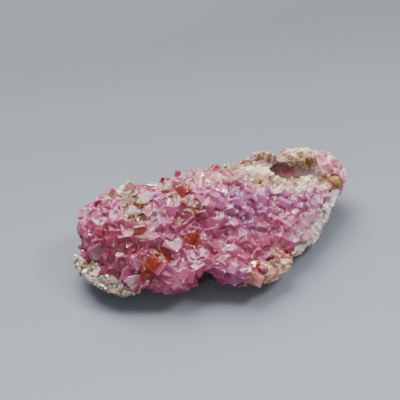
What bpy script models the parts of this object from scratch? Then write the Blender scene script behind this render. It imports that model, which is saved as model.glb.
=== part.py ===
"""Cobaltoan calcite specimen: a crust of pink calcite crystals grown over a broken piece of pale rock.

The rock is a long lump, higher at the back, with a ledge at its left end, a dark hollow in the flat
stretch behind and small lumps along its ridge. It rests on a flat broken base. The crust is a bed
that follows the rock, covered with rhombohedral crystals that have grown into each other, and a
second, small patch of them sits at the rock's far right corner.
"""

import math
import random

import bmesh
import bpy
import numpy as np
from mathutils import Matrix, Vector, noise
from mathutils.bvhtree import BVHTree

MM = 0.001  # lengths below are in millimetres; the finished meshes are scaled to metres
GAP = 0.5  # how much a crust's seat is larger than the rock in it, which leaves about 0.3 clear

# ---------------------------------------------------------------- the rock's driving dimensions

ROCK_CENTRE = Vector((3.0, 4.0, 0.0))
ROCK_HALF_LENGTH, ROCK_HALF_WIDTH = 36.0, 17.0
# The outline seen from above: (x, y, height of the rock's widest line over the table).
ROCK_OUTLINE = [
    (-28.6, 15.0, 8.0),
    (-28.0, 6.0, 6.5),
    (-25.5, -1.5, 5.5),
    (-18.0, -7.5, 6.0),
    (-10.0, -10.2, 6.0),
    (-7.0, -9.2, 6.5),
    (-4.0, -7.5, 6.5),
    (-1.0, -9.0, 6.5),
    (3.0, -12.5, 5.5),
    (8.0, -14.5, 4.5),
    (15.5, -13.4, 3.5),
    (23.0, -8.2, 3.5),
    (32.0, -3.0, 4.0),
    (40.0, 4.0, 5.0),
    (45.0, 12.4, 7.8),
    (42.5, 17.5, 8.5),
    (30.0, 20.5, 8.0),
    (18.0, 20.0, 8.0),
    (6.0, 18.0, 8.0),
    (-8.0, 18.0, 8.0),
    (-19.0, 21.0, 8.0),
    (-26.0, 20.5, 8.0),
]
# The upper side climbs from the front edge to a ridge along the back.
FRONT_Y, RIDGE_Y = -14.0, 13.0
FRONT_TOP, RIDGE_TOP = 6.0, 17.5
# Swells and dips on that slope: (x, y, reach, height).
SWELLS = [
    (-16.0, 0.0, 9.0, 3.0),
    (-4.0, -4.0, 5.5, -2.0),
    (12.0, -2.0, 9.0, 1.5),
    (-27.0, 17.0, 9.0, -3.5),
    (39.0, 6.0, 11.0, -4.5),
    (42.0, 15.0, 5.0, 1.5),
]
LEAST_RISE = 3.0  # from the widest line to the upper side
UNDER_DEPTH = 3.0  # how far the rounded underside would go on below the flat base
TOP_ROUNDING, UNDER_ROUNDING = 0.5, 1.0
ROUGHNESS = [(9.0, 1.2), (3.5, 0.5)]  # (size of the bumps, their height)
# Flat broken faces: (bearing, slope above the horizon, depth of the chip).
CHIPS = [
    (95.0, 12.0, 1.6),
    (118.0, -14.0, 2.4),
    (72.0, -10.0, 2.2),
    (55.0, 25.0, 1.6),
    (20.0, -25.0, 1.5),
    (-38.0, -25.0, 2.0),
    (-70.0, -45.0, 2.4),
    (172.0, -35.0, 1.4),
]
# Lumps joined to the rock: (centre, half sizes, turn about the upright, roughness).
LUMPS = {
    "ledge": ((-26.8, 1.6, 5.1), (11.6, 5.5, 2.3), 118.0, 1.5),
    "nodule": ((40.6, 8.2, 9.8), (1.9, 1.9, 1.9), 0.0, 0.1),
    "ridge_lump_left": ((14.5, 16.0, 14.4), (4.6, 3.0, 3.0), 15.0, 1.3),
    "ridge_lump_middle": ((22.0, 17.0, 15.2), (4.6, 3.2, 3.6), 0.0, 1.3),
    "ridge_lump_right": ((33.4, 18.0, 12.7), (7.0, 3.2, 3.2), -6.0, 1.3),
    "front_lip": ((12.5, -12.4, 4.7), (7.4, 3.4, 2.8), 12.0, 1.3),
}
# Hollows cut into it, given in the same way.
HOLLOWS = {
    "dark_hollow": ((31.0, 12.6, 14.8), (9.4, 3.2, 4.2), 4.0, 0.8),
    "back_pit": ((-2.0, 19.5, 9.0), (5.0, 2.6, 3.2), 0.0, 1.0),
    "back_nick": ((17.0, 21.0, 5.5), (4.0, 2.4, 2.6), 20.0, 1.0),
}
# The overhung notch in the front edge is cut from the rock and from the crust.
NOTCH = ((-4.4, -10.6, 3.0), (3.2, 4.6, 4.6), 0.0, 0.6)
LUMP_GRAIN = 2.5  # size of the bumps on lumps and hollows

# ---------------------------------------------------------------- the crusts' driving dimensions

BED_THICKNESS = 1.35
CRUST_LOW, CRUST_HIGH = 3.6, 40.0
# Where crystals grow, seen from above.
MAIN_OUTLINE = [
    (-37.0, 18.0),
    (-37.0, 5.0),
    (-28.5, -1.5),
    (-21.0, -14.0),
    (-8.0, -16.0),
    (0.0, -16.0),
    (7.0, -18.0),
    (10.5, -12.5),
    (19.0, -9.0),
    (27.5, -3.8),
    (35.0, 3.0),
    (38.0, 7.0),
    (32.0, 6.8),
    (24.0, 5.2),
    (17.0, 6.0),
    (12.0, 10.5),
    (8.0, 18.5),
    (-8.0, 18.8),
    (-18.0, 24.0),
    (-32.0, 24.0),
]
CORNER_OUTLINE = [(37.5, 10.4), (48.0, 8.5), (48.0, 20.0), (38.0, 20.0)]
BARE_PATCH = (Vector((-17.3, 13.6)), 3.4)  # no large crystals grow here
# Crystal sizes: (x, y, reach, edge length), blended by nearness.
CRYSTAL_EDGES = [
    (-20.0, 6.0, 10.0, 3.0),
    (-12.0, -8.0, 8.0, 3.4),
    (-2.0, 4.0, 8.0, 2.9),
    (10.0, -8.0, 9.0, 3.1),
    (18.0, 0.0, 9.0, 2.7),
    (32.0, 2.0, 8.0, 2.3),
    (42.0, 14.0, 6.0, 2.4),
    (2.0, 17.0, 7.0, 2.6),
]
# Crystals along the notched front edge, placed one by one: (place on the rock, edge length).
EDGE_CRYSTALS = [
    ((-18.0, -9.0, 5.4), 3.3),
    ((-14.5, -10.0, 5.6), 3.5),
    ((-10.6, -11.0, 5.8), 3.6),
    ((-7.4, -10.0, 5.6), 3.0),
    ((0.0, -10.5, 5.6), 3.0),
    ((-8.6, -9.4, 7.6), 3.4),
    ((-5.6, -8.4, 7.8), 3.0),
    ((-2.6, -8.4, 8.2), 2.8),
    ((0.4, -9.6, 8.2), 2.8),
    ((2.6, -11.6, 7.8), 3.1),
    ((5.6, -13.4, 7.0), 3.3),
]
SPACING = 0.99  # distance between neighbouring crystals, in edge lengths
SINK = 0.22  # how far a crystal's middle sits above the rock's surface, in edge lengths
STRETCH = (0.85, 1.3)  # along the axis that the three end faces meet on
TILT = 38.0
SEEDS = 9000


# ---------------------------------------------------------------- shapes shared by all pieces


def new_object(name, bm, collection):
    mesh = bpy.data.meshes.new(name)
    bm.to_mesh(mesh)
    bm.free()
    obj = bpy.data.objects.new(name, mesh)
    collection.objects.link(obj)
    if collection.name == "cutters":
        obj.hide_render = True
        obj.display_type = "WIRE"
    return obj


def blended(table, x, y):
    """The mean of a table's last column, weighted by how near each row's point is."""
    weights = [math.exp(-((x - px) ** 2 + (y - py) ** 2) / reach**2) for px, py, reach, _ in table]
    total = sum(weights) or 1.0
    return sum(w * row[3] for w, row in zip(weights, table)) / total


def smooth_step(low, high, value):
    t = min(max((value - low) / (high - low), 0.0), 1.0)
    return t * t * (3.0 - 2.0 * t)


def boolean(obj, operation, other):
    modifier = obj.modifiers.new(f"{operation.lower()}_{other.name}", "BOOLEAN")
    modifier.operation = operation
    modifier.solver = "EXACT"
    modifier.object = other


def applied(obj):
    """Replaces an object's mesh with what its modifiers make of it."""
    graph = bpy.context.evaluated_depsgraph_get()
    mesh = bpy.data.meshes.new_from_object(obj.evaluated_get(graph))
    obj.modifiers.clear()
    obj.data = mesh
    return obj


def bearing(azimuth, slope):
    """The unit vector at an azimuth about the upright and a slope above the horizon, in degrees."""
    a, s = math.radians(azimuth), math.radians(slope)
    return Vector((math.cos(a) * math.cos(s), math.sin(a) * math.cos(s), math.sin(s)))


def rough_vector(point):
    """Smooth noise in three directions, each read at a place of its own."""
    return Vector([noise.noise(point + Vector((7.3, 1.9, 4.1)) * axis) for axis in (1, 2, 3)])


def lump(name, place, collection, swell=0.0):
    """A rough rounded solid: a lump on the rock, the cutter of a hollow, or a lump's larger seat."""
    centre, halves, turn, rough = place
    bm = bmesh.new()
    bmesh.ops.create_icosphere(bm, subdivisions=2, radius=1.0)
    stand = Matrix.Translation(centre) @ Matrix.Rotation(math.radians(turn), 4, "Z")
    for vertex in bm.verts:
        place = stand @ (vertex.co * Vector(halves))
        grown = stand @ (vertex.co * (Vector(halves) + Vector((swell,) * 3)))
        vertex.co = grown + rough_vector(place / LUMP_GRAIN) * rough
    return new_object(name, bm, collection)


# ---------------------------------------------------------------- the rock


def outline_at(angle):
    """(distance from the centre, height of the widest line) of the rock's outline at an angle."""
    points = [Vector((x, y, 0.0)) - ROCK_CENTRE for x, y, _ in ROCK_OUTLINE]
    angles = [math.atan2(p.y, p.x) for p in points]
    order = np.argsort(angles)
    sorted_angles = np.array(angles)[order]
    reach = np.interp(angle, sorted_angles, np.array([p.length for p in points])[order], period=math.tau)
    rim = np.interp(angle, sorted_angles, np.array([z for _, _, z in ROCK_OUTLINE])[order], period=math.tau)
    return float(reach), float(rim)


def top_height(x, y):
    swell = sum(
        height * math.exp(-((x - sx) ** 2 + (y - sy) ** 2) / reach**2)
        for sx, sy, reach, height in SWELLS
    )
    return FRONT_TOP + (RIDGE_TOP - FRONT_TOP) * smooth_step(FRONT_Y, RIDGE_Y, y) + swell


def rock_point(direction, swell=0.0):
    """Where a point of the unit sphere goes on the rough rock, or on one swollen by a distance."""
    along, across, up = direction
    angle = math.atan2(across * ROCK_HALF_WIDTH, along * ROCK_HALF_LENGTH)
    reach, rim = outline_at(angle)
    outward = Vector((math.cos(angle), math.sin(angle), 0.0)) * math.hypot(along, across)
    point = ROCK_CENTRE + outward * reach
    if up >= 0.0:
        rise = max(top_height(point.x, point.y) - rim, LEAST_RISE)
        point.z = rim + rise * up**TOP_ROUNDING
        lift = swell * up**TOP_ROUNDING
    else:
        point.z = rim - (rim + UNDER_DEPTH) * (-up) ** UNDER_ROUNDING
        lift = -swell * (-up) ** UNDER_ROUNDING
    rough = Vector()
    for size, height in ROUGHNESS:
        rough += rough_vector(point / size) * height
    return point + rough + outward * swell + Vector((0.0, 0.0, lift))


def cut_flat(bm, place, normal):
    """Cuts off what lies beyond a plane and closes the cut with one flat face."""
    geometry = bm.verts[:] + bm.edges[:] + bm.faces[:]
    bmesh.ops.bisect_plane(bm, geom=geometry, plane_co=place, plane_no=normal, clear_outer=True)
    bmesh.ops.holes_fill(bm, edges=[e for e in bm.edges if e.is_boundary], sides=0)


def rock_body(swell=0.0, subdivisions=4):
    bm = bmesh.new()
    bmesh.ops.create_icosphere(bm, subdivisions=subdivisions, radius=1.0)
    for vertex in bm.verts:
        vertex.co = rock_point(vertex.co, swell)
    return bm


def make_rock(parts, cutters):
    bm = rock_body()
    for azimuth, slope, depth in CHIPS:
        normal = bearing(azimuth, slope)
        farthest = max(vertex.co.dot(normal) for vertex in bm.verts)
        cut_flat(bm, normal * (farthest - depth), normal)
    bmesh.ops.triangulate(bm, faces=bm.faces[:])
    rock = new_object("matrix_rock", bm, parts)

    for name, place in LUMPS.items():
        boolean(rock, "UNION", lump(name, place, cutters))
    for name, place in HOLLOWS.items():
        boolean(rock, "DIFFERENCE", lump(name, place, cutters))
    boolean(rock, "DIFFERENCE", lump("notch", NOTCH, cutters))
    applied(rock)

    bm = bmesh.new()
    bm.from_mesh(rock.data)
    cut_flat(bm, Vector(), Vector((0.0, 0.0, -1.0)))
    bmesh.ops.triangulate(bm, faces=bm.faces[:])
    bm.to_mesh(rock.data)
    bm.free()
    return rock


# ---------------------------------------------------------------- the crusts


def inside(outline, x, y):
    """Whether a point lies inside a closed outline, by counting the sides crossed on the way out."""
    crossings = 0
    for (ax, ay), (bx, by) in zip(outline, outline[1:] + outline[:1]):
        if (ay > y) != (by > y) and x < ax + (y - ay) / (by - ay) * (bx - ax):
            crossings += 1
    return crossings % 2 == 1


def crystal_seeds(outline, surface, chance):
    """(place, growth direction, edge length) of each crystal, thrown at the rock and kept apart."""
    kept = []
    for point, edge in EDGE_CRYSTALS:
        place, normal, _, _ = surface.find_nearest(Vector(point))
        if inside(outline, place.x, place.y):
            kept.append((place, normal, edge))
    for _ in range(SEEDS):
        direction = Vector([chance.gauss(0.0, 1.0) for _ in range(3)]).normalized()
        place, normal, _, _ = surface.find_nearest(rock_point(direction))
        edge = blended(CRYSTAL_EDGES, place.x, place.y) * chance.uniform(0.8, 1.2)
        low = place.z - edge / 3 < CRUST_LOW or normal.z < -0.35
        if low or not inside(outline, place.x, place.y):
            continue
        if (place.to_2d() - BARE_PATCH[0]).length < BARE_PATCH[1]:
            continue
        if all((place - other).length > SPACING * (edge + size) / 2 for other, _, size in kept):
            kept.append((place, normal, edge))
    return kept


def crystal_matrix(place, normal, edge, chance):
    """Stands a cube on its corner, stretches it into a rhombohedron and leans it off the rock."""
    corner_up = Vector((1.0, 1.0, 1.0)).rotation_difference(Vector((0.0, 0.0, 1.0)))
    lean_axis = normal.orthogonal().normalized()
    lean_axis.rotate(Matrix.Rotation(chance.uniform(0.0, math.tau), 3, normal))
    lean = Matrix.Rotation(math.radians(TILT) * math.sqrt(chance.random()), 4, lean_axis)
    growth = Vector((0.0, 0.0, 1.0)).rotation_difference(normal).to_matrix().to_4x4()
    spin = Matrix.Rotation(chance.uniform(0.0, math.tau), 4, "Z")
    stretch = Matrix.Diagonal((1.0, 1.0, chance.uniform(*STRETCH), 1.0))
    centre = Matrix.Translation(place + normal * (SINK * edge))
    return centre @ lean @ growth @ spin @ stretch @ corner_up.to_matrix().to_4x4()


def crystal_layers(seeds):
    """Sorts crystals into layers in which no two touch, so that each layer is a clean solid to join."""
    layers = []
    for seed in seeds:
        reach = seed[2] * math.sqrt(3.0) / 2.0 * STRETCH[1]
        for layer in layers:
            if all((seed[0] - other[0]).length > reach + other_reach for other, other_reach in layer):
                break
        else:
            layer = []
            layers.append(layer)
        layer.append((seed, reach))
    return [[seed for seed, _ in layer] for layer in layers]


def largest_body(obj):
    """Keeps the one large closed body of a mesh, and drops sealed pockets and loose chips."""
    bm = bmesh.new()
    bm.from_mesh(obj.data)
    left, groups = set(bm.verts), []
    while left:
        group, edge_of_group = set(), [left.pop()]
        while edge_of_group:
            vertex = edge_of_group.pop()
            group.add(vertex)
            near = {e.other_vert(vertex) for e in vertex.link_edges} & left
            left -= near
            edge_of_group += near
        groups.append(group)
    groups.sort(key=len)
    for group in groups[:-1]:
        bmesh.ops.delete(bm, geom=list(group), context="VERTS")
    bmesh.ops.dissolve_degenerate(bm, dist=0.001, edges=bm.edges[:])
    bmesh.ops.triangulate(bm, faces=bm.faces[:])
    bm.to_mesh(obj.data)
    bm.free()


def prism(name, outline, low, high, collection):
    """A flat outline raised between two heights."""
    bm = bmesh.new()
    base = bm.faces.new([bm.verts.new((x, y, low)) for x, y in outline])
    raised = bmesh.ops.extrude_face_region(bm, geom=[base])["geom"]
    rise = Vector((0.0, 0.0, high - low))
    bmesh.ops.translate(bm, vec=rise, verts=[v for v in raised if isinstance(v, bmesh.types.BMVert)])
    bmesh.ops.recalc_face_normals(bm, faces=bm.faces[:])
    return new_object(name, bm, collection)


def make_crust(name, outline, seed, parts, cutters):
    chance = random.Random(seed)
    crust = new_object(name, rock_body(BED_THICKNESS, 3), parts)
    boolean(crust, "INTERSECT", prism(f"{name}_outline", outline, CRUST_LOW, CRUST_HIGH, cutters))

    surface = BVHTree.FromBMesh(rock_body())
    for number, layer in enumerate(crystal_layers(crystal_seeds(outline, surface, chance))):
        bm = bmesh.new()
        for place, normal, edge in layer:
            bmesh.ops.create_cube(bm, size=edge, matrix=crystal_matrix(place, normal, edge, chance))
        boolean(crust, "UNION", new_object(f"{name}_crystals_{number}", bm, cutters))

    boolean(crust, "DIFFERENCE", new_object(f"{name}_seat", rock_body(GAP), cutters))
    for lump_name, place in LUMPS.items():
        boolean(crust, "DIFFERENCE", lump(f"{name}_{lump_name}_seat", place, cutters, GAP))
    boolean(crust, "DIFFERENCE", lump(f"{name}_notch", NOTCH, cutters))
    applied(crust)
    largest_body(crust)
    return crust


# ---------------------------------------------------------------- colours and the finished part


def finish(obj, colour, roughness):
    material = bpy.data.materials.new(f"{obj.name}_finish")
    material.use_nodes = True
    shader = material.node_tree.nodes["Principled BSDF"]
    shader.inputs["Base Color"].default_value = (*colour, 1.0)
    shader.inputs["Roughness"].default_value = roughness
    shader.inputs["Metallic"].default_value = 0.0
    material.diffuse_color = (*colour, 1.0)
    obj.data.materials.clear()
    obj.data.materials.append(material)


def set_on_origin(pieces):
    """Scales the pieces to metres, with the origin under the middle of the whole, on its base."""
    corners = np.array([v.co for piece in pieces for v in piece.data.vertices])
    low, high = corners.min(axis=0), corners.max(axis=0)
    middle = Vector(((low[0] + high[0]) / 2, (low[1] + high[1]) / 2, low[2]))
    for piece in pieces:
        piece.data.transform(Matrix.Scale(MM, 4) @ Matrix.Translation(-middle))
        piece.data.update()


def main():
    for obj in list(bpy.data.objects):
        bpy.data.objects.remove(obj)
    parts = bpy.data.collections.new("cobaltoan_calcite")
    cutters = bpy.data.collections.new("cutters")
    for collection in (parts, cutters):
        bpy.context.scene.collection.children.link(collection)

    rock = make_rock(parts, cutters)
    main_crust = make_crust("crystal_crust", MAIN_OUTLINE, 7, parts, cutters)
    corner_crust = make_crust("corner_crystals", CORNER_OUTLINE, 11, parts, cutters)

    finish(rock, (0.52, 0.43, 0.36), 0.85)
    finish(main_crust, (0.58, 0.20, 0.33), 0.25)
    finish(corner_crust, (0.66, 0.34, 0.42), 0.25)
    set_on_origin([rock, main_crust, corner_crust])


main()
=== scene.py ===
"""Cobaltoan calcite specimen: rose-pink calcite crystals grown over a broken piece of pale rock."""

import math

import bpy
import numpy as np
from mathutils import Matrix, Vector, noise
from mathutils.bvhtree import BVHTree


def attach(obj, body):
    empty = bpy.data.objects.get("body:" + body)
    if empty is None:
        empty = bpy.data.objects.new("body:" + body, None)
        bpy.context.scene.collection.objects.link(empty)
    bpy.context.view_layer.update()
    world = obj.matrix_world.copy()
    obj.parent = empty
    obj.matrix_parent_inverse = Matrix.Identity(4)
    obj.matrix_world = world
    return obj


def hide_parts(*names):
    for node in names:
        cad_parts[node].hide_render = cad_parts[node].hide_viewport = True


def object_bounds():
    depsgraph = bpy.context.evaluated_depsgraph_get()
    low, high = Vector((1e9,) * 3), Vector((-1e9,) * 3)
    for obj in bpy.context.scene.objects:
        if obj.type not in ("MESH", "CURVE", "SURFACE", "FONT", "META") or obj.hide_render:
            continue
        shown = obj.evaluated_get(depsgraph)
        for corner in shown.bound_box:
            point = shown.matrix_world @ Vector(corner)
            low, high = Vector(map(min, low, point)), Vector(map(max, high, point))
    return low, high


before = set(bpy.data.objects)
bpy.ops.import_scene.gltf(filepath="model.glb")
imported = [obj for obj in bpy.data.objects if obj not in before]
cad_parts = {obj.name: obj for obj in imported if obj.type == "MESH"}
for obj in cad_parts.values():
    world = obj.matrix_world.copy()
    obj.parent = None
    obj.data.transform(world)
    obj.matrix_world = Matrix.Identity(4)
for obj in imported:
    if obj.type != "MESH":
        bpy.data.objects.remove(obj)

MM = 0.001
solids_box = [list(corner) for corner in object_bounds()]

# ---------------------------------------------------------------- the table, the light and the camera
# The specimen stands on a pale grey table top whose tone is painted light and shade: lighter at the front and
# darker towards the back. Broad soft light falls from behind, as from a window, with a weaker lamp at the
# right and another at the front, and the pale room fills the shadows in.

AIM = Vector((-6.48, 2.30, 17.8)) * MM  # what the camera looks at
AZIMUTH, ELEVATION, DISTANCE, LENS = math.radians(-21.0), math.radians(40.0), 290.0 * MM, 101.5
ROOM_COLOUR, ROOM_STRENGTH = (1.0, 0.97, 0.93, 1.0), 0.51
# (name, place and side in metres, watts, colour)
LIGHTS = [
    ("window", (-0.04, 0.40, 0.48), 0.52, 14.0, (0.97, 0.985, 1.0)),
    ("side_lamp", (0.42, 0.00, 0.46), 0.22, 4.4, (1.0, 0.99, 0.98)),
    ("front_lamp", (-0.45, -0.55, 0.42), 0.24, 1.8, (1.0, 0.99, 0.98)),
]
TABLE_SIDE, TABLE_ROUGHNESS = 4.0, 0.75
# Painted light and shade on the table: the near tone is lighter and the far tone darker.
PAINTED_LIGHT_NEAR_TONE, PAINTED_SHADE_FAR_TONE = (0.189, 0.207, 0.246), (0.054, 0.066, 0.071)
PAINTED_SHADE_ALONG, PAINTED_SHADE_FROM, PAINTED_SHADE_TO = (0.08, 1.04, 0.0), -0.09, 0.11  # painted shade: the table darkens along this direction, between these distances


def looking(direction):
    """The turn of a camera or a light that looks along a direction."""
    return direction.to_track_quat("-Z", "Y").to_euler()


away = Vector(
    (math.sin(AZIMUTH) * math.cos(ELEVATION), -math.cos(AZIMUTH) * math.cos(ELEVATION), math.sin(ELEVATION))
)
bpy.ops.object.select_all(action="DESELECT")
bpy.ops.object.camera_add(location=AIM + away * DISTANCE, rotation=looking(-away))
camera = bpy.context.object
camera.data.lens = LENS
bpy.context.scene.camera = camera

room = bpy.data.worlds.new("pale_room")
room.use_nodes = True
room.node_tree.nodes["Background"].inputs["Color"].default_value = ROOM_COLOUR
room.node_tree.nodes["Background"].inputs["Strength"].default_value = ROOM_STRENGTH
bpy.context.scene.world = room

for name, place, side, watts, colour in LIGHTS:
    bpy.ops.object.light_add(type="AREA", location=place, rotation=looking(-Vector(place)))
    light = bpy.context.object
    light.name = name
    light.data.size, light.data.energy, light.data.color = side, watts, colour

bpy.ops.mesh.primitive_plane_add(size=TABLE_SIDE)
table_top = bpy.context.object
table_top.name = "table_top"


def material_for(obj, name):
    """A material of its own for an object: (node tree, its shader)."""
    material = bpy.data.materials.new(name)
    material.use_nodes = True
    obj.data.materials.clear()
    obj.data.materials.append(material)
    return material.node_tree, material.node_tree.nodes["Principled BSDF"]


def feed(tree, socket, value):
    """Links a socket to another one, or sets it to a number or a colour."""
    if isinstance(value, bpy.types.NodeSocket):
        tree.links.new(value, socket)
    else:
        socket.default_value = (*value, 1.0) if isinstance(value, tuple) else value


def mixed(tree, share, first, second, blend="MIX"):
    """A Mix node between two colours by a share, each a socket or plain numbers."""
    node = tree.nodes.new("ShaderNodeMix")
    node.data_type = "RGBA"
    node.blend_type = blend
    for socket, value in ((node.inputs[0], share), (node.inputs[6], first), (node.inputs[7], second)):
        feed(tree, socket, value)
    return node.outputs[2]


# The table's colour runs from the lighter near tone to the darker far tone: painted light and shade.
tree, shader = material_for(table_top, "pale_grey_table")
where = tree.nodes.new("ShaderNodeTexCoord")
along = tree.nodes.new("ShaderNodeVectorMath")
along.operation = "DOT_PRODUCT"
along.inputs[1].default_value = PAINTED_SHADE_ALONG
share = tree.nodes.new("ShaderNodeMapRange")
share.inputs["From Min"].default_value, share.inputs["From Max"].default_value = PAINTED_SHADE_FROM, PAINTED_SHADE_TO
feed(tree, along.inputs[0], where.outputs["Object"])
feed(tree, share.inputs["Value"], along.outputs["Value"])
feed(tree, shader.inputs["Base Color"], mixed(tree, share.outputs["Result"], PAINTED_LIGHT_NEAR_TONE, PAINTED_SHADE_FAR_TONE))
feed(tree, shader.inputs["Roughness"], TABLE_ROUGHNESS)

# ---------------------------------------------------------------- the rock
# The broken piece of carbonate rock that carries the crystals. It is cream and tan, sugary where it broke,
# grey along the ledge at its left end, stained brown in spots and dark in the hollow below its ridge. Painted
# shade darkens its pits and its wall under the notch between the two front lobes.

MERGE = 0.002  # corners nearer than this are one; all sizes are in millimetres
ROCK_STEP = 0.38  # side of the cells that the rock's surface is remade in
BUMPS = [(4.0, 0.28, 1.0), (0.8, 0.08, 8.0)]  # rounded bumps on it: (size, height, seed)
BREAKS = [(3.2, 0.62), (1.3, 0.34)]  # flat-faced breaks in it: (size, height)
SUNK = 0.15  # lowers the bumps and breaks, which would swell the rock
FLAT_FOOT = 0.8  # height over the table below which the roughness dies away
NODULE, NODULE_REACH = (34.0, 5.0, 9.8), 2.3
CALM_NODULE, CALM_HOLLOW = 0.3, 0.75  # the smooth nodule's share of the roughness, and what the hollow loses
PIT_SHADE_START, PIT_SHADE_SLOPE = 0.5, 1.1  # painted shade: the surface darkens from its high places down into its pits
NOISE_GAIN = 1.6  # brings smooth noise to between about -1 and 1

# Where each colour lies on the rock: spots (x, y, z, reach), set singly or in a streak along a line.
STREAK_STEP = 0.8  # from one spot of a streak to the next, in reaches
SPOT_SHAPE = (1.0, 1.0, 0.5)  # spots reach twice as far up and down as across
SPOT_END, SPOT_FADE = 1.25, 0.5  # where a spot ends and how wide its border is, in reaches
BORDER_BUMP, BORDER_RAGGED = 1.6, 0.35  # size of the bumps along a border, and their height in reaches


def streak(line, reach):
    """Spots (x, y, z, reach) set close together along a line of points."""
    spots = []
    for start, end in zip(line, line[1:]):
        steps = max(1, round(math.dist(start, end) / (STREAK_STEP * reach)))
        for number in range(steps + 1):
            spots.append((*(a + (b - a) * number / steps for a, b in zip(start, end)), reach))
    return spots


ROCK_KINDS = {
    "cream": streak([(12.4, 5.6, 16.0), (21.0, 3.6, 13.5), (31.5, 6.7, 11.2)], 2.4)
    + streak([(25.5, 14.2, 15.2), (31.4, 13.1, 14.4)], 2.6)
    + [(10.4, 8.9, 17.0, 2.4), (14.1, 9.0, 16.8, 2.0), (19.5, 6.0, 14.5, 2.2), (32.5, 10.2, 12.5, 2.0)],
    "pink": streak([(7.0, 9.5, 17.0), (12.5, 5.0, 16.0)], 2.2)
    + [(17.1, 12.4, 17.6, 2.6), (21.0, 14.0, 15.5, 2.4), (14.0, 15.0, 16.5, 2.4)],
    "peach": streak([(2.6, -18.2, 6.2), (6.5, -15.5, 6.5), (12.0, -13.0, 6.0)], 4.0),
    "grey": [(-36.5, 1.0, 6.5, 6.0), (-33.0, -5.0, 6.0, 5.5)],
    "tan": streak([(9.5, 8.3, 16.7), (13.8, 6.0, 16.1)], 1.5)
    + [(10.9, 5.9, 16.4, 1.8), (17.5, 4.2, 14.6, 1.0), (30.6, 6.4, 11.2, 1.3)]
    + [(18.3, 12.3, 17.2, 1.8), (22.5, 14.5, 15.4, 1.6), (6.6, -15.6, 7.2, 1.2)],
    "ochre": [(10.6, 13.6, 16.4, 1.8), (5.8, 12.7, 16.6, 1.4), (15.4, 13.2, 18.6, 1.2)]
    + [(27.2, 13.3, 15.0, 1.0), (24.0, 14.2, 14.8, 1.0), (29.4, 12.0, 13.2, 1.2)]
    + [(11.7, 6.6, 16.5, 1.0), (10.5, -13.8, 6.6, 1.3), (-38.0, 1.0, 6.0, 1.4)],
    "dark": streak([(17.2, 12.2, 15.2), (19.5, 11.4, 14.0)], 1.7)
    + streak([(20.5, 11.2, 13.4), (25.7, 10.4, 11.4), (30.0, 8.6, 11.6)], 2.2),
    # shade: painted shade on the rock wall under the notch between the two front lobes
    "shade": streak([(-12.0, -11.0, 2.0), (-9.7, -9.6, 2.5), (-7.0, -10.5, 2.0)], 2.2),
    "rim": streak([(33.6, 3.4, 8.0), (29.2, -2.7, 6.6), (19.3, -11.1, 6.4), (16.4, -11.4, 5.1)], 2.1),
    "red": [(23.6, 10.6, 11.6, 1.5), (21.6, 11.0, 12.4, 1.0)],
}
# What each kind looks like: (kind, colour, strength).
ROCK_COLOURS = (
    ("cream", (0.86, 0.65, 0.49), 1.0),
    ("pink", (0.52, 0.26, 0.26), 1.0),
    ("peach", (0.64, 0.39, 0.31), 1.0),
    ("grey", (0.25, 0.18, 0.17), 1.0),
    ("tan", (0.36, 0.23, 0.15), 1.0),
    ("ochre", (0.26, 0.14, 0.03), 1.0),
    ("dark", (0.11, 0.045, 0.045), 1.0),
    ("red", (0.17, 0.02, 0.025), 1.0),
    # painted shade under the notch
    ("shade", (0.07, 0.045, 0.04), 1.0),
    ("rim", (0.74, 0.66, 0.66), 1.0),
    ("nodule", (0.32, 0.17, 0.015), 1.0),
)
BROWN_STONE, BUFF_STONE = (0.22, 0.155, 0.12), (0.42, 0.33, 0.26)
# The last colour here is the painted shade in the rock's pits.
SPECKLE, SPECKLE_STRENGTH, PIT_SHADE_TINT = (0.16, 0.10, 0.075), 0.35, (0.45, 0.34, 0.30)
STONE_CLOUD, SPECKLE_CLOUD, ROCK_GRAIN = 4.0, 0.9, 0.3
ROCK_ROUGHNESS, ROCK_RELIEF = 0.6, 0.12


def merged_copy(node, name):
    """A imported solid's triangles joined into one closed mesh, on an object of its own."""
    obj = bpy.data.objects.new(name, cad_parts[node].data.copy())
    bpy.context.scene.collection.objects.link(obj)
    bpy.ops.object.select_all(action="DESELECT")
    obj.select_set(True)
    bpy.context.view_layer.objects.active = obj
    bpy.ops.object.mode_set(mode="EDIT")
    bpy.ops.mesh.select_all(action="SELECT")
    bpy.ops.mesh.remove_doubles(threshold=MERGE * MM)
    bpy.ops.object.mode_set(mode="OBJECT")
    return obj


def read_rows(mesh, kind):
    """Where a mesh's corners are ("co"), or which way they face ("normal"), a row to each."""
    numbers = np.empty(len(mesh.vertices) * 3)
    mesh.vertices.foreach_get(kind, numbers)
    return numbers.reshape(-1, 3)


def move_corners(mesh, places):
    """Puts a mesh's corners at places in millimetres."""
    mesh.vertices.foreach_set("co", (places * MM).ravel())


def surface_of(obj):
    """(search tree in millimetres, corner places, faces) of a mesh."""
    places = read_rows(obj.data, "co") / MM
    faces = [tuple(face.vertices) for face in obj.data.polygons]
    return BVHTree.FromPolygons(places.tolist(), faces), places, faces


def modified(obj, kind, **settings):
    """Adds a modifier with its settings and applies it."""
    modifier = obj.modifiers.new(kind.lower(), kind)
    for key, value in settings.items():
        setattr(modifier, key, value)
    bpy.context.view_layer.objects.active = obj
    bpy.ops.object.modifier_apply(modifier=modifier.name)


def keep_values(mesh, values, domain="POINT"):
    """Stores named numbers on a mesh for its material to read."""
    for name, numbers in values.items():
        attribute = mesh.attributes.new(name, "FLOAT", domain)
        attribute.data.foreach_set("value", np.asarray(numbers, np.float32))


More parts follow.
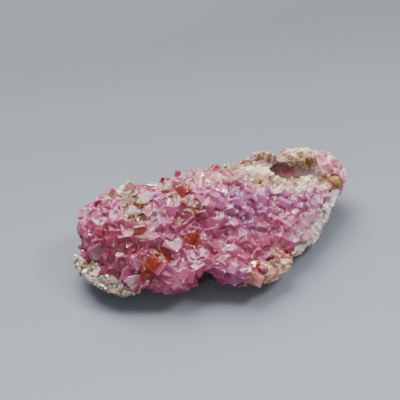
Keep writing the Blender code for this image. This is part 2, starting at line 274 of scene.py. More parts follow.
def wobble(points, size, seed):
    """Smooth noise between about -1 and 1 at each point, with bumps of a size."""
    shift = Vector((seed, seed * 1.7, seed * 2.3))
    return np.array([noise.noise(Vector(p) / size + shift) for p in points]) * NOISE_GAIN


def cover(points, spots):
    """How far the spots cover each point, from 0 to 1, with ragged borders."""
    covered = np.zeros(len(points))
    rough = wobble(points, BORDER_BUMP, 3.1) * BORDER_RAGGED
    for x, y, z, reach in spots:
        far = np.linalg.norm((points - np.array((x, y, z))) * SPOT_SHAPE, axis=1) / reach
        covered = np.maximum(covered, np.clip((SPOT_END - far + rough) / SPOT_FADE, 0.0, 1.0))
    return covered


def broken(points, size):
    """Flat-faced breaks: each cell leans its own way and is stepped from the next (height in cell sizes)."""
    lean_spread, lean_shift = 7.1, Vector((9.7, 3.3, 5.9))
    step_spread, step = 5.3, 0.4
    heights = np.empty(len(points))
    for number, point in enumerate(points):
        point = Vector(point) / size
        _, centres = noise.voronoi(point)
        lean = Vector([noise.cell(centres[0] * lean_spread + lean_shift * axis) for axis in (1, 2, 3)])
        heights[number] = (point - centres[0]).dot(lean) + step * noise.cell(centres[0] * step_spread)
    return heights


rock = merged_copy("matrix_rock", "rock")
solid_rock, solid_places, solid_faces = surface_of(rock)
modified(rock, "REMESH", mode="VOXEL", voxel_size=ROCK_STEP * MM)
modified(rock, "SMOOTH", factor=0.5, iterations=5)

places, normals = read_rows(rock.data, "co") / MM, read_rows(rock.data, "normal")
height = np.zeros(len(places))
for size, high, seed in BUMPS:
    height += wobble(places, size, seed) * high
for size, high in BREAKS:
    height += broken(places, size) * high
height = (height - SUNK) * (1.0 - CALM_HOLLOW * cover(places, ROCK_KINDS["dark"]))
on_nodule = np.linalg.norm(places - np.array(NODULE), axis=1) < NODULE_REACH
height[on_nodule] *= CALM_NODULE
height *= np.clip(places[:, 2] / FLAT_FOOT, 0.0, 1.0)
places = places + normals * height[:, None]
places[:, 2] = np.maximum(places[:, 2], 0.0)
move_corners(rock.data, places)
# Painted shade: the lower a place lies among the bumps and breaks, the darker it is painted.
pit_shade = np.clip(PIT_SHADE_START - height * PIT_SHADE_SLOPE, 0.0, 1.0)
keep_values(rock.data, {kind: cover(places, spots) for kind, spots in ROCK_KINDS.items()})
keep_values(rock.data, {"pit_shade": pit_shade, "nodule": on_nodule})


def stored(tree, name):
    """The socket of a value kept on the mesh."""
    node = tree.nodes.new("ShaderNodeAttribute")
    node.attribute_name = name
    return node.outputs["Fac"]


def maths(tree, operation, *values, clamp=False):
    """A Math node on sockets or numbers."""
    node = tree.nodes.new("ShaderNodeMath")
    node.operation, node.use_clamp = operation, clamp
    for socket, value in zip(node.inputs, values):
        feed(tree, socket, value)
    return node.outputs[0]


def ramp(tree, value, slope, start):
    """A value times a slope plus a start, kept between 0 and 1."""
    return maths(tree, "MULTIPLY_ADD", value, slope, start, clamp=True)


def effect(name, takes, gives):
    """A node group for an effect that several materials use: (group, what it takes, what it gives)."""
    group = bpy.data.node_groups.new(name, "ShaderNodeTree")
    for way, sockets in (("INPUT", takes), ("OUTPUT", gives)):
        for socket, kind in sockets.items():
            group.interface.new_socket(socket, in_out=way, socket_type="NodeSocket" + kind)
    return group, group.nodes.new("NodeGroupInput").outputs, group.nodes.new("NodeGroupOutput").inputs


def placed_in(tree, group, **values):
    """An effect placed in a material with its own values, and what it gives."""
    node = tree.nodes.new("ShaderNodeGroup")
    node.node_tree = group
    for name, value in values.items():
        feed(tree, node.inputs[name], value)
    return node.outputs


clouding, takes, gives = effect("mineral_clouding", {"Size": "Float"}, {"Share": "Float"})
where = clouding.nodes.new("ShaderNodeTexCoord")
soft_noise = clouding.nodes.new("ShaderNodeTexNoise")
feed(clouding, soft_noise.inputs["Detail"], 3.0)
feed(clouding, soft_noise.inputs["Vector"], where.outputs["Object"])
feed(clouding, soft_noise.inputs["Scale"], maths(clouding, "DIVIDE", 1.0 / MM, takes["Size"]))
feed(clouding, gives["Share"], soft_noise.outputs["Fac"])

staining, takes, gives = effect(
    "mineral_staining",
    {"Color": "Color", "Stain": "Color", "Where": "Float", "Strength": "Float"},
    {"Color": "Color"},
)
share = maths(staining, "MULTIPLY", takes["Where"], takes["Strength"])
feed(staining, gives["Color"], mixed(staining, share, takes["Color"], takes["Stain"]))


def clouds(tree, size):
    """Soft noise through the stone, with clouds of a size."""
    return placed_in(tree, clouding, Size=size)["Share"]


def stained(tree, colour, stains):
    """A colour with stains over it where the mesh says: (kind, colour, strength)."""
    for kind, stain, strength in stains:
        where = stored(tree, kind)
        colour = placed_in(tree, staining, Color=colour, Stain=stain, Where=where, Strength=strength)["Color"]
    return colour


def relief(tree, shader, height, depth):
    """Fine unevenness of a depth, by a Bump node."""
    bump = tree.nodes.new("ShaderNodeBump")
    feed(tree, bump.inputs["Distance"], depth * MM)
    feed(tree, bump.inputs["Height"], height)
    feed(tree, shader.inputs["Normal"], bump.outputs[0])


tree, shader = material_for(rock, "broken_rock")
stone = stained(tree, mixed(tree, clouds(tree, STONE_CLOUD), BROWN_STONE, BUFF_STONE), ROCK_COLOURS)
speckled = mixed(tree, ramp(tree, clouds(tree, SPECKLE_CLOUD), 4.0, -1.9), stone, SPECKLE)
stone = mixed(tree, SPECKLE_STRENGTH, stone, speckled)
# The pits' painted shade multiplies the stone's colour.
pit_shading = mixed(tree, stored(tree, "pit_shade"), (1.0, 1.0, 1.0), PIT_SHADE_TINT)
feed(tree, shader.inputs["Base Color"], mixed(tree, 1.0, stone, pit_shading, "MULTIPLY"))
feed(tree, shader.inputs["Roughness"], ROCK_ROUGHNESS)
relief(tree, shader, clouds(tree, ROCK_GRAIN), ROCK_RELIEF)

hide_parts("matrix_rock")
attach(rock, "root")

# ---------------------------------------------------------------- the crystal crust
# Rose-pink calcite in rhombohedral crystals that have grown into each other on a thin bed over the rock.
# Each stands on the rock with three faces meeting at its tip, and small ones fill the gaps between large.

BED_TOP, BED_SQUASH = 1.6, 0.65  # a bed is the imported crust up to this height, and this share of the rest
# Sizes of the large crystals over the rock, blended by nearness: (x, y, reach, size).
LARGE_SIZES = [
    (-27.0, 5.0, 10.0, 2.8),
    (-19.0, -12.0, 8.0, 3.8),
    (-9.0, 1.0, 8.0, 2.5),
    (2.0, -11.0, 9.0, 2.8),
    (9.0, -2.0, 8.0, 1.9),
    (20.0, -2.0, 7.0, 1.8),
    (30.0, 0.0, 7.0, 1.4),
    (-4.0, 13.0, 7.0, 2.1),
    (6.0, 7.0, 6.0, 1.4),
]
SIZE_SPREAD, WIDTH_SPREAD, SKEW = (0.8, 1.2), (0.85, 1.2), 0.15  # how single crystals differ
FULL_POLISH_FROM, SMALL_POLISH = 1.7, 0.9  # crystals up to this size have this share of the polish
BED_POLISH, BED_TONE, FACET_ANGLE = 0.5, 0.2, 24.0  # faces that meet more sharply than this keep an edge
UNDER_FAR, TOP_FAR = 4.5, 12.0  # the furthest that a crust's underside and its top lie from the rock
JUST_OVER, JUST_INSIDE, LEAST_FACING = 0.02, 0.1, -0.2  # where these are looked for from, and how squarely
TIP_HEIGHT = 0.84  # from the middle of a crystal of unit size to its tip
LEAST_CLEAR, MOST_CLEAR = 0.35, 1.3  # how far a tip clears the bed: in sizes, and in half heights
OFFSHOOTS = 2  # smaller crystals beside each of the leading ones
OFFSHOOT_SIZE, OFFSHOOT_FAR, OFFSHOOT_RISE = (0.45, 0.72), 0.55, (-0.5, 0.35)  # shares of the larger's size
OFFSHOOT_LEAN = (-0.12, 0.12)
OUT_BY, OUT_BY_SHARE = 0.2, 0.1  # how far a crystal may stand out of the solids, and more by its size
PUSHES, PUSH_TO = 4, 0.5  # how often it is pushed back in, and to which share of what is allowed
PAST_CORNER = (0.9, 0.9, -0.3)  # how far it may pass the lower corner of the solids' box
# The notch between the two front lobes: a place in it, its way out, half its width and how far back it goes.
NOTCH, NOTCH_OUT = np.array((-10.73, -10.14, 2.15)), np.array((-0.27, -0.72, 0.64))
NOTCH_HALF, NOTCH_BACK = 2.4, -3.0
GOLD_PATCH, GOLD_REACH = Vector((-23.3, 8.8, 17.0)), 4.6  # only fine grains grow here
# Seats tried for crystals: in all, up to where for the large ones and the middling ones, and for the gold.
SEATS, LARGE_SEATS, MIDDLING_SEATS, GOLD_SEATS = 20000, 6000, 10000, 40000
SEED = 5
CRUST_STEP, CRUST_MOST = 0.19, 192000  # cells of the joined skin, and the most triangles it may have

# Where each colour lies on the crust, given as on the rock.
CRUST_KINDS = {
    "lavender": streak([(2.2, -0.8, 16.0), (13.0, -1.0, 15.0), (23.0, -1.4, 11.6)], 4.2)
    + [(4.5, -5.0, 14.0, 3.2), (-17.3, 6.6, 18.7, 3.0), (-4.3, -17.2, 8.1, 2.2)],
    "rose": [(-29.7, 9.6, 16.5, 4.2), (-33.0, 11.0, 14.5, 3.0), (-16.9, 3.7, 18.0, 3.2)]
    + [(-10.5, 0.1, 16.5, 4.5), (-11.5, -9.5, 10.0, 3.5), (-7.5, -8.5, 11.0, 3.0)],
    "pale": streak([(29.7, -0.8, 8.9), (22.2, -6.0, 8.6), (15.6, -9.7, 8.8)], 2.2)
    + [(-28.4, 15.4, 15.8, 2.0), (-35.2, 13.7, 11.6, 2.2), (-35.4, 1.6, 8.6, 1.4)]
    + [(-29.5, -10.0, 6.4, 1.4), (-19.6, 0.3, 16.9, 2.2)],
    "tan": streak([(-4.3, 10.0, 18.4), (-0.7, 10.5, 18.3), (7.0, 6.0, 17.6), (10.0, 3.2, 16.8)], 2.2)
    + [(-26.6, 15.6, 16.6, 2.2), (0.3, -19.6, 6.5, 2.4), (9.8, -13.4, 7.4, 2.6)],
    "crimson": streak([(-32.8, 2.6, 14.6), (-30.2, -2.3, 13.8), (-25.2, -5.2, 14.0)], 2.6)
    + [(-29.5, -4.8, 12.2, 2.2), (-25.0, -11.5, 8.0, 1.8), (-8.0, -10.8, 9.5, 2.4), (3.0, -12.0, 9.8, 2.2)],
    "brown": streak([(-13.2, 9.8, 18.5), (-10.2, 8.2, 18.7), (-11.2, 6.2, 18.0), (-8.4, 0.4, 16.2)], 2.2)
    + streak([(-24.4, 0.2, 17.0), (-24.1, -2.0, 16.0)], 1.8)
    + [(-13.2, -0.3, 15.4, 1.4), (-15.0, -2.3, 15.5, 1.3), (-20.6, 6.0, 18.2, 1.4)]
    + [(1.3, 7.1, 17.9, 1.0), (8.9, -13.9, 7.8, 1.5), (11.3, -12.5, 7.2, 1.2)],
    "rust": streak([(-25.1, -9.7, 10.9), (-20.6, -7.9, 11.0)], 2.2)
    + [(-11.5, -5.6, 12.1, 2.2), (-13.4, 10.4, 18.6, 1.2), (-8.4, 6.4, 18.7, 1.5)]
    + [(1.5, 13.1, 17.8, 1.2), (1.8, -15.2, 7.8, 1.6), (-22.8, 1.4, 17.4, 1.1)],
    "gold": streak([(-24.3, 3.4, 18.0), (-23.4, 8.2, 17.2), (-22.7, 12.3, 16.5)], 2.5)
    + [(-21.8, 7.0, 18.2, 2.0)],
    "cream": streak([(13.6, 2.6, 15.7), (20.0, 1.9, 13.7), (30.7, 2.8, 10.5)], 1.0)
    + streak([(33.0, 2.4, 8.8), (27.9, -2.7, 7.8), (18.0, -11.0, 7.0)], 0.8)
    + [(-22.6, 16.0, 16.3, 2.2)],
}
LAVENDER = ("lavender", (0.45, 0.15, 0.39), 0.85)
CRUST_COLOURS = (
    ("rose", (0.32, 0.04, 0.125), 0.8),
    ("pale", (0.62, 0.37, 0.46), 0.6),
    ("tan", (0.53, 0.25, 0.21), 0.78),
    ("crimson", (0.27, 0.005, 0.02), 0.6),
    ("brown", (0.25, 0.03, 0.014), 0.85),
    ("rust", (0.30, 0.018, 0.002), 0.98),
)
DARK_GRIT, LIGHT_GRIT = (0.13, 0.04, 0.008), (0.46, 0.245, 0.15)
CREAM_EDGE = ("cream", (0.86, 0.67, 0.57), 0.75)
# Painted glint: the pale colour that a few large faces take, as if they caught the light.
PAINTED_GLINT_FACET = (0.90, 0.66, 0.79)
PALE_CLOUD, DEEP_CLOUD, GRIT_CLOUD, RELIEF_CLOUD = 1.4, 0.45, 0.7, 0.8
ROSE = (0.27, 0.008, 0.055), (0.40, 0.058, 0.165), (0.54, 0.160, 0.32)  # roots, middles and tips


def tilted(turn, slope):
    """A direction at a slope off the growth axis, both in degrees."""
    turn, slope = math.radians(turn), math.radians(slope)
    return Vector((math.cos(turn) * math.sin(slope), math.sin(turn) * math.sin(slope), math.cos(slope)))


# Each habit is a cube of unit size, stood on its corner and cut along planes: (way out, how far out).
PRISM = [(tilted(60.0 * number + 30.0, 90.0), 0.66) for number in range(6)]
HABITS = {
    "rhomb": [(tilted(200.0, 35.0), 0.74)],
    "capped": PRISM + [(tilted(75.0, 15.0), 0.78)],
    "blunted": [(tilted(60.0, 40.0), 0.60), (tilted(190.0, 62.0), 0.60), (tilted(300.0, 30.0), 0.68)],
    "stepped": [(tilted(20.0, 70.0), 0.56), (tilted(150.0, 48.0), 0.60), (tilted(260.0, 84.0), 0.56)],
    "nail_head": [(tilted(120.0 * number + 8.0, 26.0), 0.55 + 0.04 * number) for number in range(3)] + PRISM,
    "ragged": [
        (tilted(35.0, 58.0), 0.58),
        (tilted(110.0, 22.0), 0.70),
        (tilted(170.0, 75.0), 0.56),
        (tilted(245.0, 44.0), 0.60),
        (tilted(320.0, 66.0), 0.56),
    ],
    "wedge": [(tilted(90.0, 30.0), 0.52), (tilted(270.0, 52.0), 0.60), (tilted(0.0, 88.0), 0.55)],
}


def crystal_form(cuts):
    """A crystal of unit size, tip up: (corners, faces)."""
    bpy.ops.object.select_all(action="DESELECT")
    bpy.ops.mesh.primitive_cube_add(size=1.0)
    form = bpy.context.object
    form.rotation_mode = "QUATERNION"
    form.rotation_quaternion = Vector((1.0, 1.0, 1.0)).rotation_difference(Vector((0.0, 0.0, 1.0)))
    bpy.ops.object.transform_apply(rotation=True)
    bpy.ops.object.mode_set(mode="EDIT")
    for side, far in cuts:
        bpy.ops.mesh.select_all(action="SELECT")
        bpy.ops.mesh.bisect(plane_co=side * far, plane_no=side, use_fill=True, clear_outer=True)
    bpy.ops.mesh.select_all(action="SELECT")
    bpy.ops.mesh.normals_make_consistent(inside=False)
    bpy.ops.object.mode_set(mode="OBJECT")
    corners = np.array([vertex.co for vertex in form.data.vertices])
    faces = [tuple(face.vertices) for face in form.data.polygons]
    bpy.data.objects.remove(form)
    return corners, faces


def points_on(places, faces, count, chance):
    """Points thrown evenly over a mesh."""
    triangles = np.array([f[:3] for f in faces])
    a, b, c = (places[triangles[:, k]] for k in range(3))
    area = np.linalg.norm(np.cross(b - a, c - a), axis=1)
    chosen = chance.choice(len(faces), count, p=area / area.sum())
    u, v = chance.random(count), chance.random(count)
    flip = u + v > 1.0
    u[flip], v[flip] = 1.0 - u[flip], 1.0 - v[flip]
    return a[chosen] + (b - a)[chosen] * u[:, None] + (c - a)[chosen] * v[:, None]


def seats_under(crust, count, chance):
    """Where crystals can root on the rock under a crust: [(place, way out, room up to the crust's top)]."""
    seats = []
    for point in points_on(solid_places, solid_faces, count, chance):
        point = Vector(point)
        _, outward, _, _ = solid_rock.find_nearest(point)
        place, facing, _, _ = crust.ray_cast(point + outward * JUST_OVER, outward, UNDER_FAR)
        if place is None or facing.dot(outward) > LEAST_FACING:
            continue
        outward = (outward - facing).normalized()
        _, _, _, room = crust.ray_cast(place + outward * JUST_INSIDE, outward, TOP_FAR)
        if room:
            seats.append((place, outward, room))
    return seats


def spaced(seats, chance, size_at, spacing, taken=()):
    """Keeps the seats that stand clear of those taken: [(place, way out, room, size)]."""
    kept = []
    cells = {}
    cell_side = 4.0
    for place, _, _, size in taken:
        cells.setdefault(tuple(int(c // cell_side) for c in place), []).append((place, size))
    for place, outward, room in seats:
        size = size_at(place) * chance.uniform(*SIZE_SPREAD)
        cell = tuple(int(c // cell_side) for c in place)
        near = [
            other
            for x in (-1, 0, 1)
            for y in (-1, 0, 1)
            for z in (-1, 0, 1)
            for other in cells.get((cell[0] + x, cell[1] + y, cell[2] + z), ())
        ]
        if all((place - other).length > spacing * (size + width) / 2 for other, width in near):
            kept.append((place, outward, room, size))
            cells.setdefault(cell, []).append((place, size))
    return kept


def size_here(place):
    """Size of the large crystals at a place, the mean of the table's sizes weighted by nearness."""
    distances = [((place.x - x) ** 2 + (place.y - y) ** 2) / reach**2 for x, y, reach, _ in LARGE_SIZES]
    weights = [math.exp(-distance) for distance in distances]
    return sum(w * row[3] for w, row in zip(weights, LARGE_SIZES)) / (sum(weights) or 1.0)


def bed_under(room):
    """Height of the thin bed where the crust has this much room."""
    return min(room, BED_TOP + (room - BED_TOP) * BED_SQUASH)


def lower_to_bed(crust, places):
    """Squashes a copy of a packed crust down to its bed."""
    for number, place in enumerate(places):
        nearest, _, _, distance = solid_rock.find_nearest(Vector(place))
        if distance > BED_TOP:
            places[number] = nearest + (Vector(place) - nearest) * (bed_under(distance) / distance)
    move_corners(crust.data, places)


def standing(forms, seats, chance, tilt, stretch, reach):
    """Crystals whose tips reach a share of the room over the bed: [(form, turn, centre, size, tone)]."""
    crystals = []
    for place, outward, room, size in seats:
        lean_axis = outward.orthogonal().normalized()
        lean_axis.rotate(Matrix.Rotation(chance.uniform(0.0, math.tau), 3, outward))
        lean = Matrix.Rotation(math.radians(tilt) * math.sqrt(chance.random()), 3, lean_axis)
        growth = Vector((0.0, 0.0, 1.0)).rotation_difference(outward).to_matrix()
        spin = Matrix.Rotation(chance.uniform(0.0, math.tau), 3, "Z")
        width, depth = chance.uniform(*WIDTH_SPREAD), chance.uniform(*WIDTH_SPREAD)
        shape = Matrix.Diagonal((width, depth, chance.uniform(*stretch)))
        half_height = TIP_HEIGHT * size * shape[2][2]
        shape[0][2], shape[1][2] = chance.uniform(-SKEW, SKEW), chance.uniform(-SKEW, SKEW)
        bed = bed_under(room)
        tip = bed + (room - bed) * chance.uniform(*reach)
        tip = min(max(tip, bed + LEAST_CLEAR * size), bed + MOST_CLEAR * half_height)
        form = forms[int(chance.integers(len(forms)))]
        centre = place + outward * (tip - half_height)
        crystals.append((form, lean @ growth @ spin @ shape, centre, size, chance.random()))
    return crystals


def offshoots(crystals, chance):
    """Smaller crystals in nearly the same attitude, stepping down the sides of larger ones."""
    found = []
    for form, turn, centre, size, tone in crystals:
        for _ in range(OFFSHOOTS):
            angle, smaller = chance.uniform(0.0, math.tau), size * chance.uniform(*OFFSHOOT_SIZE)
            offset = Vector((math.cos(angle), math.sin(angle), chance.uniform(*OFFSHOOT_RISE)))
            leant = Matrix.Rotation(chance.uniform(*OFFSHOOT_LEAN), 3, "X") @ turn
            found.append((form, leant, centre + turn @ (offset * (OFFSHOOT_FAR * size)), smaller, tone))
    return found


def proud(point):
    """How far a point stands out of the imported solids, and which way."""
    found = None
    for solid in (solid_crust, solid_rock, solid_corner):
        nearest, facing, _, far = solid.find_nearest(Vector(point))
        far = far if (Vector(point) - nearest).dot(facing) > 0.0 else -far
        if found is None or far < found[0]:
            found = (far, facing)
    return found


def settled(placed, allowed):
    """A crystal's corners pushed back until none stands further out than allowed, or None."""
    for _ in range(PUSHES):
        far, facing = max((proud(corner) for corner in placed), key=lambda found: found[0])
        if far <= allowed:
            return placed
        placed = placed - np.array(facing) * (far - allowed * PUSH_TO)
    return None


def in_notch(placed):
    """Whether a crystal would grow across the notch between the two front lobes."""
    along = (placed - NOTCH) @ NOTCH_OUT
    aside = np.linalg.norm(placed - NOTCH - along[:, None] * NOTCH_OUT, axis=1)
    return ((aside < NOTCH_HALF) & (along > NOTCH_BACK)).any()


def grown(name, crystals, chance):
    """One mesh of many crystals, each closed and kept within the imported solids' reach: (it, its corners)."""
    corners, faces, tones, polish = [], [], [], []
    count = 0
    low_limit = np.array(solids_box[0]) / MM - PAST_CORNER
    for (unit, unit_faces), turn, centre, size, tone in crystals:
        placed = settled(unit @ np.array(turn).T * size + np.array(centre), OUT_BY + OUT_BY_SHARE * size)
        if placed is None or (placed < low_limit).any() or in_notch(placed):
            continue
        corners.append(placed)
        faces += [tuple(count + corner for corner in face) for face in unit_faces]
        count += len(unit)
        tones.append(np.full(len(unit), tone))
        polish.append(chance.random(len(unit_faces)) * (1.0 if size > FULL_POLISH_FROM else SMALL_POLISH))
    corners = np.concatenate(corners)
    mesh = bpy.data.meshes.new(name)
    mesh.from_pydata((corners * MM).tolist(), [], faces)
    obj = bpy.data.objects.new(name, mesh)
    bpy.context.scene.collection.objects.link(obj)
    keep_values(mesh, {"tone": np.concatenate(tones)})
    keep_values(mesh, {"polish": np.concatenate(polish)}, "FACE")
    return obj, corners


def read_values(mesh, name):
    """The numbers stored under a name on a mesh."""
    data = mesh.attributes[name].data
    numbers = np.empty(len(data), np.float32)
    data.foreach_get("value", numbers)
    return numbers


def knitted(obj, bed, step, most):
    """Crystals and their bed made one closed skin that keeps each crystal face's own tone and polish."""
    keep_values(bed.data, {"polish": np.full(len(bed.data.polygons), BED_POLISH)}, "FACE")
    keep_values(bed.data, {"tone": np.full(len(bed.data.vertices), BED_TONE)})
    bpy.ops.object.select_all(action="DESELECT")
    bed.select_set(True)
    obj.select_set(True)
    bpy.context.view_layer.objects.active = obj
    bed.data.materials.clear()
    bpy.ops.object.join()
    skin, _, faces = surface_of(obj)
    polish, tone = read_values(obj.data, "polish"), read_values(obj.data, "tone")
    modified(obj, "REMESH", mode="VOXEL", voxel_size=step * MM)
    if 2 * len(obj.data.polygons) > most:
        modified(obj, "DECIMATE", ratio=most / (2 * len(obj.data.polygons)))
    for name in ("polish", "tone"):
        if name in obj.data.attributes:
            obj.data.attributes.remove(obj.data.attributes[name])
    places = read_rows(obj.data, "co") / MM
    found = [skin.find_nearest(Vector(place))[2] for place in places]
    keep_values(obj.data, {"polish": polish[found], "tone": tone[[faces[number][0] for number in found]]})
    bpy.ops.object.shade_smooth_by_angle(angle=math.radians(FACET_ANGLE))
    return places


chance = np.random.default_rng(SEED)
crust_bed = merged_copy("crystal_crust", "crust_bed")
solid_crust, bed_places, bed_faces = surface_of(crust_bed)
corner_bed = merged_copy("corner_crystals", "corner_bed")
solid_corner, corner_places, _ = surface_of(corner_bed)
lower_to_bed(crust_bed, bed_places)
solid_bed, _, _ = surface_of(crust_bed)

# Crystals large enough to show it are of any habit, and small grains are of the plainer ones.
forms = {name: crystal_form(cuts) for name, cuts in HABITS.items()}
keen, grain = list(forms.values()), [forms[name] for name in ("rhomb", "stepped", "wedge")]
seats = seats_under(solid_crust, SEATS, chance)
clear = [seat for seat in seats if (seat[0] - GOLD_PATCH).length > GOLD_REACH]
highest = sorted(clear[:LARGE_SEATS], key=lambda seat: -seat[2])
leading = spaced(highest, chance, lambda place: size_here(place) * 1.3, spacing=1.1)
seats = clear[:LARGE_SEATS]
large = spaced(seats, chance, lambda place: size_here(place) * 0.95, spacing=0.6, taken=leading)
seats, taken = clear[LARGE_SEATS:MIDDLING_SEATS], leading + large
middling = spaced(seats, chance, lambda place: size_here(place) * 0.48, spacing=0.52, taken=taken)
seats, taken = clear[MIDDLING_SEATS:], leading + large + middling
small = spaced(seats, chance, lambda place: size_here(place) * 0.27, spacing=0.52, taken=taken)
leaders = standing(keen, leading, chance, tilt=30.0, stretch=(0.6, 0.9), reach=(0.9, 1.05))
crystals = leaders + offshoots(leaders, chance)
crystals += standing(keen, large, chance, tilt=38.0, stretch=(0.65, 0.95), reach=(0.7, 1.0))
crystals += standing(keen, middling, chance, tilt=48.0, stretch=(0.7, 1.05), reach=(0.65, 1.0))
crystals += standing(grain, small, chance, tilt=55.0, stretch=(0.8, 1.3), reach=(0.3, 0.9))

gold = []
for point in points_on(bed_places, bed_faces, GOLD_SEATS, chance):
    point = Vector(point)
    _, outward, _, _ = solid_bed.find_nearest(point)
    if (point - GOLD_PATCH).length < GOLD_REACH + chance.uniform(0.0, 1.0) and outward.z > 0.0:
        gold.append((point, outward, 0.0))
gold = spaced(gold, chance, lambda place: chance.uniform(0.45, 0.95), spacing=0.7)
crystals += standing(grain, gold, chance, tilt=60.0, stretch=(0.8, 1.3), reach=(0.0, 0.0))

crust, _ = grown("pink_crust", crystals, chance)
crust_corners = knitted(crust, crust_bed, CRUST_STEP, CRUST_MOST)
keep_values(crust.data, {kind: cover(crust_corners, spots) for kind, spots in CRUST_KINDS.items()})

growth, takes, gives = effect(
    "rose_growth",
    {"Deep": "Color", "Middle": "Color", "Light": "Color", "Tip": "Color"},
    {"Color": "Color", "Roughness": "Float", "Glint": "Float", "Relief": "Float"},
)
tip_rise_and_crevice_shade, facet = stored(growth, "tip_height_and_crevice_shade"), stored(growth, "polish")
colour = mixed(growth, stored(growth, "tone"), takes["Middle"], takes["Light"])
colour = stained(growth, colour, [LAVENDER])
# Tips are paler and roots deeper, with painted shade deepening the crevices; clouds of both run through them,
# a few faces are dark at random, and a few are painted bright as glints.
for share, second in (
    (ramp(growth, tip_rise_and_crevice_shade, 1.5, -0.75), takes["Tip"]),
    (ramp(growth, tip_rise_and_crevice_shade, -2.2, 1.1), takes["Deep"]),
    (ramp(growth, clouds(growth, PALE_CLOUD), 2.0, -0.9), takes["Tip"]),
    (ramp(growth, clouds(growth, DEEP_CLOUD), -2.4, 1.1), takes["Deep"]),
    (ramp(growth, facet, -1.5, 0.35), takes["Deep"]),
    # painted glint on the faces of highest polish
    (ramp(growth, facet, 12.0, -11.2), PAINTED_GLINT_FACET),
):
    colour = mixed(growth, share, colour, second)
grit = mixed(growth, ramp(growth, clouds(growth, GRIT_CLOUD), 8.0, -4.0), DARK_GRIT, LIGHT_GRIT)
colour = stained(growth, colour, (*CRUST_COLOURS, ("gold", grit, 1.0), CREAM_EDGE))
feed(growth, gives["Color"], colour)
feed(growth, gives["Roughness"], ramp(growth, facet, -0.26, 0.42))
feed(growth, gives["Glint"], ramp(growth, facet, 10.0, -8.6))
feed(growth, gives["Relief"], clouds(growth, RELIEF_CLOUD))

# A crystal pales from the top of its root up to its tip, and darkens with its depth in the crust: its own
# deeper colour at the root, and painted shade in the crevices between crystals.
ROOT_TOP, TIP_RISE = 0.8, 2.0
# Painted shade: how far inside the crust a place must lie before its colour deepens.
CREVICE_SHADE_SHARE, CREVICE_SHADE_DEPTH = 1.15, 1.6
LIGHTER, CALCITE_RELIEF, CALCITE_SCATTER = 1.3, 0.05, (1.0, 0.4, 0.55)
CALCITE = {
    "IOR": 1.6,
    "Specular IOR Level": 0.2,
    "Transmission Weight": 0.5,
    "Subsurface Weight": 0.8,
    "Subsurface Scale": 2.0 * MM,
    "Coat Roughness": 0.18,
    "Coat IOR": 2.5,
}


def calcite(obj, name, deep, middle, tip):
    """Translucent calcite, darker at its roots and with painted shade in its crevices, paler at its tips,
    stained where the mesh says.
    """
    places = read_rows(obj.data, "co") / MM
    heights = np.array([solid_rock.find_nearest(Vector(place))[3] for place in places])
    crevice_depth = np.array([-proud(place)[0] for place in places])
    tip_height_and_crevice_shade = np.clip((heights - ROOT_TOP) / TIP_RISE, 0.0, 1.0)
    tip_height_and_crevice_shade *= np.clip(CREVICE_SHADE_SHARE - crevice_depth / CREVICE_SHADE_DEPTH, 0.0, 1.0)
    keep_values(obj.data, {"tip_height_and_crevice_shade": tip_height_and_crevice_shade})
    tree, shader = material_for(obj, name)
    light = tuple(c * LIGHTER for c in middle)
    look = placed_in(tree, growth, Deep=deep, Middle=middle, Light=light, Tip=tip)
    feed(tree, shader.inputs["Base Color"], look["Color"])
    feed(tree, shader.inputs["Roughness"], look["Roughness"])
    feed(tree, shader.inputs["Coat Weight"], look["Glint"])
    for socket, value in CALCITE.items():
        feed(tree, shader.inputs[socket], value)
    shader.inputs["Subsurface Radius"].default_value = CALCITE_SCATTER
    relief(tree, shader, look["Relief"], CALCITE_RELIEF)


calcite(crust, "rose_calcite", *ROSE)

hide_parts("crystal_crust")
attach(crust, "root")

# ---------------------------------------------------------------- the sugar on the rock
# Small clear and cream calcite grains that coat the rock wherever the pink crust leaves it bare, thickest
# on the ledge, on the cream band behind the crust and along the right rim. They sit half sunk in the rock.

SUGAR_SEATS = 16000
SUGAR_FOOT, SUGAR_LEAN = 1.5, -0.3  # none lower on the rock, and none where it faces further down
NODULE_CLEAR = 2.6  # none nearer to the nodule's middle
RIM_FROM = 0.4  # the rim's and the ledge's coarse grains stand where their stains cover this much
FEWEST, MORE_ON_CREAM = 0.08, 0.16  # share of the seats with fine grains on plain rock, and more on cream
SUGAR_TONES, SUGAR_CLEAR = ((0.36, 0.24, 0.18), (0.88, 0.71, 0.58)), 0.3
SUGAR_COLOURS = (
    ("pink", (0.62, 0.34, 0.36), 0.7),
    ("peach", (0.66, 0.42, 0.34), 0.7),
    ("grey", (0.88, 0.80, 0.78), 0.5),
    ("rim", (0.90, 0.82, 0.84), 0.8),
    # painted shade on the grains under the notch
    ("shade", (0.07, 0.045, 0.04), 0.9),
    ("tan", (0.44, 0.28, 0.19), 0.8),
    ("ochre", (0.28, 0.16, 0.045), 0.8),
    ("dark", (0.11, 0.035, 0.035), 0.9),
    ("red", (0.28, 0.03, 0.03), 0.9),
)

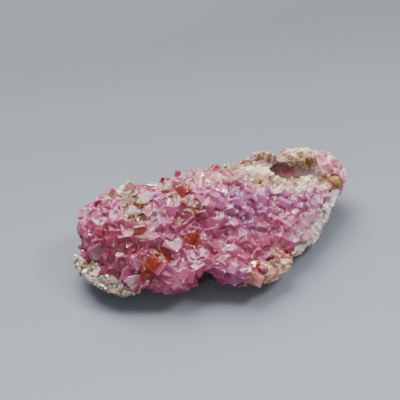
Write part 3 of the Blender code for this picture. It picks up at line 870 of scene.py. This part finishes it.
rock_surface, rough_places, rough_faces = surface_of(rock)
bare = []
for point in points_on(rough_places, rough_faces, SUGAR_SEATS, chance):
    point = Vector(point)
    _, outward, _, _ = rock_surface.find_nearest(point)
    covered = any(solid.ray_cast(point, outward, UNDER_FAR)[0] for solid in (solid_crust, solid_corner))
    clear = (point - Vector(NODULE)).length > NODULE_CLEAR
    if not covered and clear and point.z > SUGAR_FOOT and outward.z > SUGAR_LEAN:
        bare.append((point, outward, 0.0))
places = np.array([seat[0] for seat in bare])
edges = cover(places, ROCK_KINDS["rim"] + ROCK_KINDS["grey"])
creamy = cover(places, ROCK_KINDS["cream"] + ROCK_KINDS["pink"])
rim = [seat for seat, share in zip(bare, edges) if share > RIM_FROM]
bare = [seat for seat, share in zip(bare, creamy) if chance.random() < FEWEST + MORE_ON_CREAM * share]
coarse = spaced(rim, chance, lambda place: chance.uniform(0.8, 1.7), spacing=0.8)
fine = spaced(bare, chance, lambda place: chance.uniform(0.35, 1.0), spacing=0.9, taken=coarse)
grains = standing(grain, coarse + fine, chance, tilt=60.0, stretch=(0.6, 1.3), reach=(0.0, 0.0))
rock_sugar, sugar_corners = grown("rock_sugar", grains, chance)
keep_values(rock_sugar.data, {kind: cover(sugar_corners, spots) for kind, spots in ROCK_KINDS.items()})

tree, shader = material_for(rock_sugar, "clear_sugar")
colour = stained(tree, mixed(tree, stored(tree, "tone"), *SUGAR_TONES), SUGAR_COLOURS)
feed(tree, shader.inputs["Base Color"], colour)
feed(tree, shader.inputs["Roughness"], ramp(tree, stored(tree, "polish"), 0.35, 0.08))
feed(tree, shader.inputs["IOR"], CALCITE["IOR"])
feed(tree, shader.inputs["Transmission Weight"], SUGAR_CLEAR)

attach(rock_sugar, "root")

# ---------------------------------------------------------------- the corner patch
# A second small growth of the same calcite, paler and finer, at the rock's far right corner. It stands on
# a bed of its own, and its crystals are grown together with it in one skin.

CORNER_SEATS, CORNER_CLEAR = 60000, 3.6  # none nearer to the nodule's middle
CORNER_LARGE, CORNER_SMALL, CORNER_SPACING = 2.1, 1.1, 0.75
CORNER_STEP, CORNER_MOST = 0.21, 60000
PALE_ROSE = (0.66, 0.22, 0.31), (0.82, 0.44, 0.54), (0.92, 0.66, 0.74)  # roots, middles and tips

seats = seats_under(solid_corner, CORNER_SEATS, chance)
seats = [seat for seat in seats if (seat[0] - Vector(NODULE)).length > CORNER_CLEAR]
half = len(seats) // 2
large = spaced(seats[:half], chance, lambda place: CORNER_LARGE, CORNER_SPACING)
small = spaced(seats[half:], chance, lambda place: CORNER_SMALL, CORNER_SPACING, taken=large)
crystals = standing(keen, large, chance, tilt=42.0, stretch=(0.7, 1.0), reach=(0.6, 0.9))
crystals += standing(grain, small, chance, tilt=50.0, stretch=(0.8, 1.3), reach=(0.4, 0.8))
lower_to_bed(corner_bed, corner_places)
corner, _ = grown("corner_patch", crystals, chance)
corner_corners = knitted(corner, corner_bed, CORNER_STEP, CORNER_MOST)
keep_values(corner.data, {kind: np.zeros(len(corner_corners)) for kind in CRUST_KINDS})
calcite(corner, "pale_rose_calcite", *PALE_ROSE)

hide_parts("corner_crystals")
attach(corner, "root")
